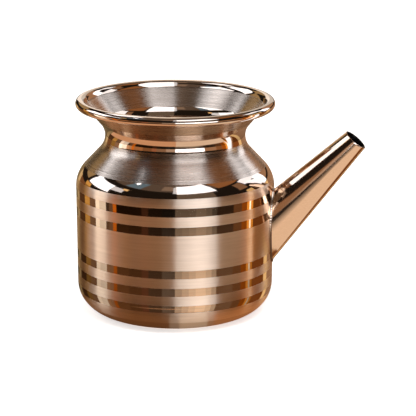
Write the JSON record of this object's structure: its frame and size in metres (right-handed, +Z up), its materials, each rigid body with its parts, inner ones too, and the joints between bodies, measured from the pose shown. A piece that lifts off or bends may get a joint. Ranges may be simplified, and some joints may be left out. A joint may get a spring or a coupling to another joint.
{
  "type": "spouted kalash water pot",
  "caption": "Small sheet-metal ritual water pot with satin and polished bands, a necked body, a flared mouth with a rolled rim and a slanted tapering side spout.",
  "frame": {"origin": "centre of the flat base, on the surface the pot stands on, where the pot's turning axis meets it", "axes": "+Z up along the pot's turning axis, +X the way the spout points, +Y completing the right-handed frame"},
  "size_m": [0.1412, 0.097, 0.1062],
  "materials": {
    "banded_metal": "warm-toned metal turned in satin bands with mirror-polished bands between them",
    "brushed_metal": "warm-toned metal brushed round the axis, with a polished neck and rim",
    "polished_metal": "warm-toned mirror polish",
    "weld_metal": "brushed weld bead"
  },
  "bodies": {
    "root": {"body_cup": "banded_metal", "neck_collar": "brushed_metal", "shoulder_weld": "polished_metal", "spout_cone": "polished_metal", "spout_root_weld": "weld_metal", "spout_seam_weld": "weld_metal"}
  },
  "joints": []
}
